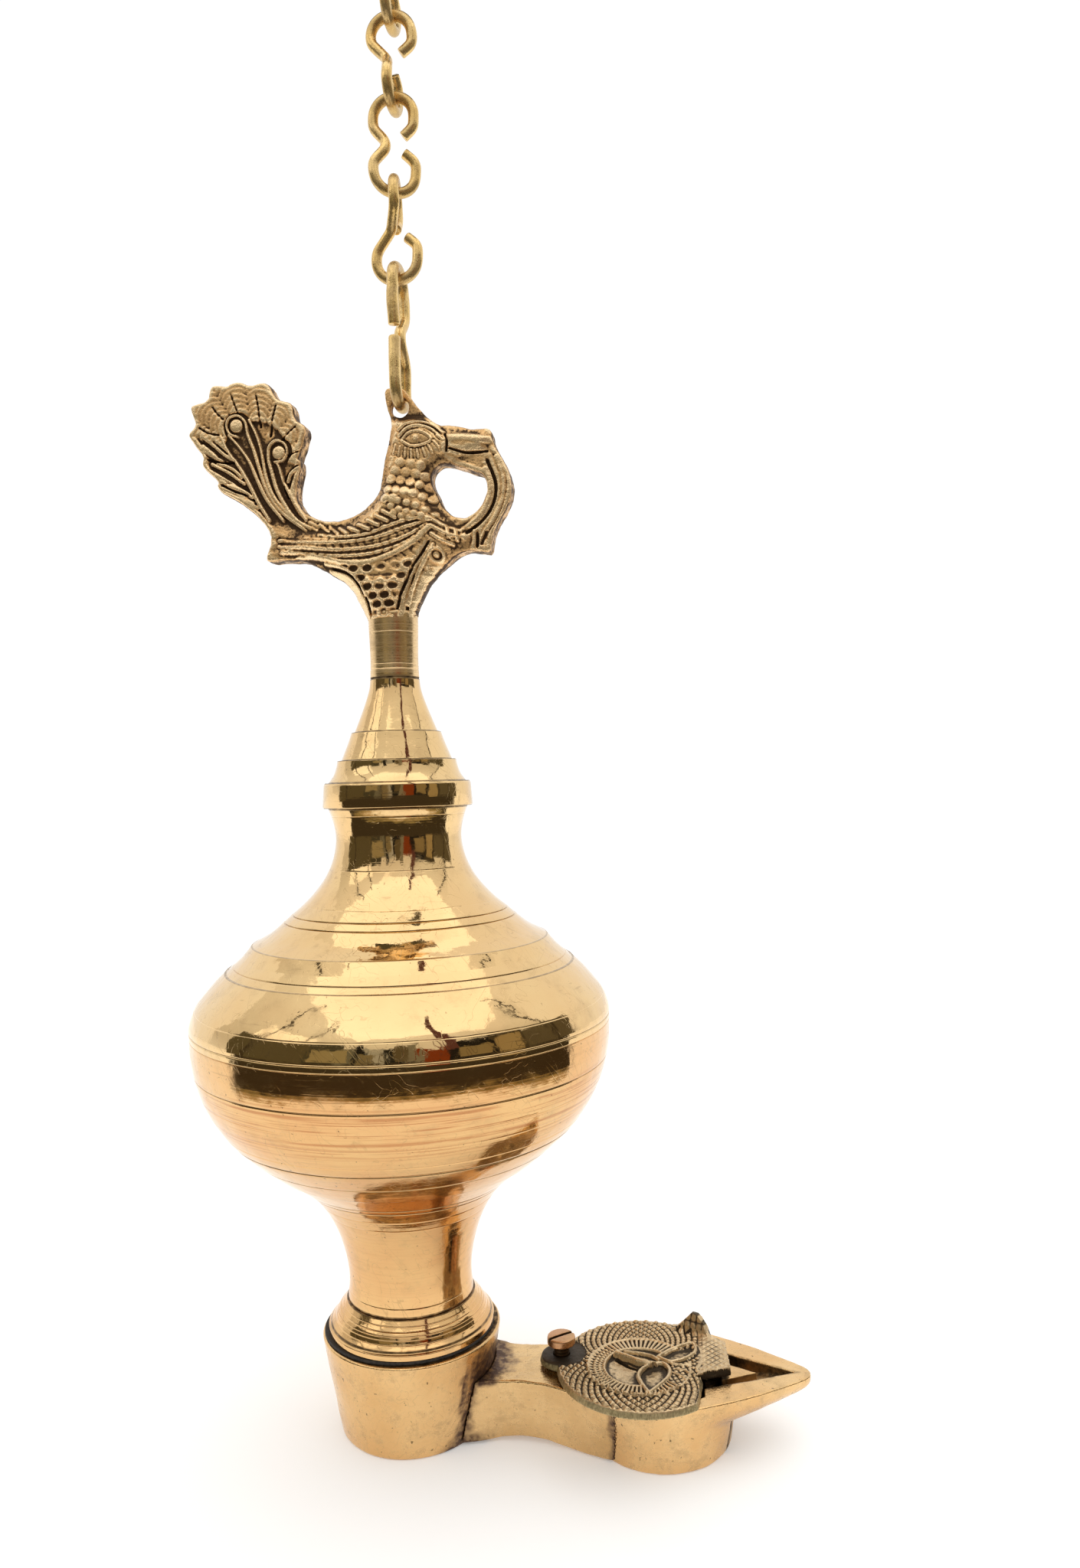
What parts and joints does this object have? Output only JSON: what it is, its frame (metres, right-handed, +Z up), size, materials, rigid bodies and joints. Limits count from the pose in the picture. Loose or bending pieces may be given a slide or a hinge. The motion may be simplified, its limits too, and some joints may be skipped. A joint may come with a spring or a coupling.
{
  "type": "hanging oil lamp",
  "caption": "Hanging brass oil lamp: wire chain, peacock finial, turned oil reservoir screwed into a base cup, and a bridged wick pan with a swivelling embossed lid.",
  "frame": {"origin": "the point inside the top of the hanging hook that the support carries; the lamp hangs below it", "axes": "+Z up; +X from the lamp's axis towards the wick pan and its spout; the bird lies in the XZ plane with its tail towards -X"},
  "size_m": [0.151, 0.104, 0.4151],
  "materials": {
    "chain_brass": "polished drawn wire",
    "bird_brass": "sand cast, dark in the recesses, rubbed bright on the high parts",
    "vessel_brass": "turned and polished",
    "bowl_brass": "turned and polished, slightly rosier",
    "base_brass": "filed and buffed, satin",
    "lid_brass": "cast relief, antiqued",
    "screw_copper": "satin",
    "seal_fibre": "oil-dark fibre"
  },
  "bodies": {
    "hook": {"hanging_hook": "chain_brass"},
    "link_top": {"chain_link_top": "chain_brass"},
    "link_upper": {"chain_link_upper": "chain_brass"},
    "link_middle": {"chain_link_middle": "chain_brass"},
    "link_lower": {"chain_link_lower": "chain_brass"},
    "s_hook": {"s_hook_link": "chain_brass"},
    "vessel": {"bird_finial": "bird_brass", "cone_cap": "vessel_brass", "reservoir_upper": "vessel_brass", "reservoir_lower": "bowl_brass", "threaded_collar": "bowl_brass"},
    "washer": {"seal_washer": "seal_fibre"},
    "base": {"base_cup": "base_brass", "feed_bridge": "base_brass", "wick_pan": "base_brass", "lid_screw": "screw_copper"},
    "lid": {"pan_lid": "lid_brass"}
  },
  "joints": [
    {"name": "hook_to_link", "type": "hinge", "parent": "hook", "child": "link_top", "pos_m": [0, 0, -0.0365], "axis": [1, 0, 0], "range_deg": [-60, 60]},
    {"name": "link_top_to_upper", "type": "hinge", "parent": "link_top", "child": "link_upper", "pos_m": [0, 0, -0.0608], "axis": [0, 1, 0], "range_deg": [-60, 60]},
    {"name": "link_upper_to_middle", "type": "hinge", "parent": "link_upper", "child": "link_middle", "pos_m": [0, 0, -0.0786], "axis": [1, 0, 0], "range_deg": [-60, 60]},
    {"name": "link_middle_to_lower", "type": "hinge", "parent": "link_middle", "child": "link_lower", "pos_m": [0, 0, -0.1], "axis": [-0.1736, 0.9848, 0], "range_deg": [-60, 60]},
    {"name": "link_lower_to_s_hook", "type": "hinge", "parent": "link_lower", "child": "s_hook", "pos_m": [0, 0, -0.1248], "axis": [1, 0, 0], "range_deg": [-60, 60]},
    {"name": "s_hook_to_lug", "type": "hinge", "parent": "s_hook", "child": "vessel", "pos_m": [0, 0, -0.15655], "axis": [0, 1, 0], "range_deg": [-50, 50]},
    {"name": "base_unscrew", "type": "hinge", "parent": "vessel", "child": "washer", "pos_m": [-0.0035, 0, -0.38765], "axis": [0, 0, -1], "range_deg": [0, 1080]},
    {"name": "base_drop", "type": "slide", "parent": "washer", "child": "base", "axis": [0, 0, -1], "range_m": [0, 0.00751]},
    {"name": "lid_swing", "type": "hinge", "parent": "base", "child": "lid", "pos_m": [0.0345, 0, -0.39505], "axis": [0, 0, 1], "range_deg": [-78, 85]}
  ],
  "couplings": [
    {"joint": "base_drop", "follows": "base_unscrew", "m_per_rad": 0.00039789}
  ]
}
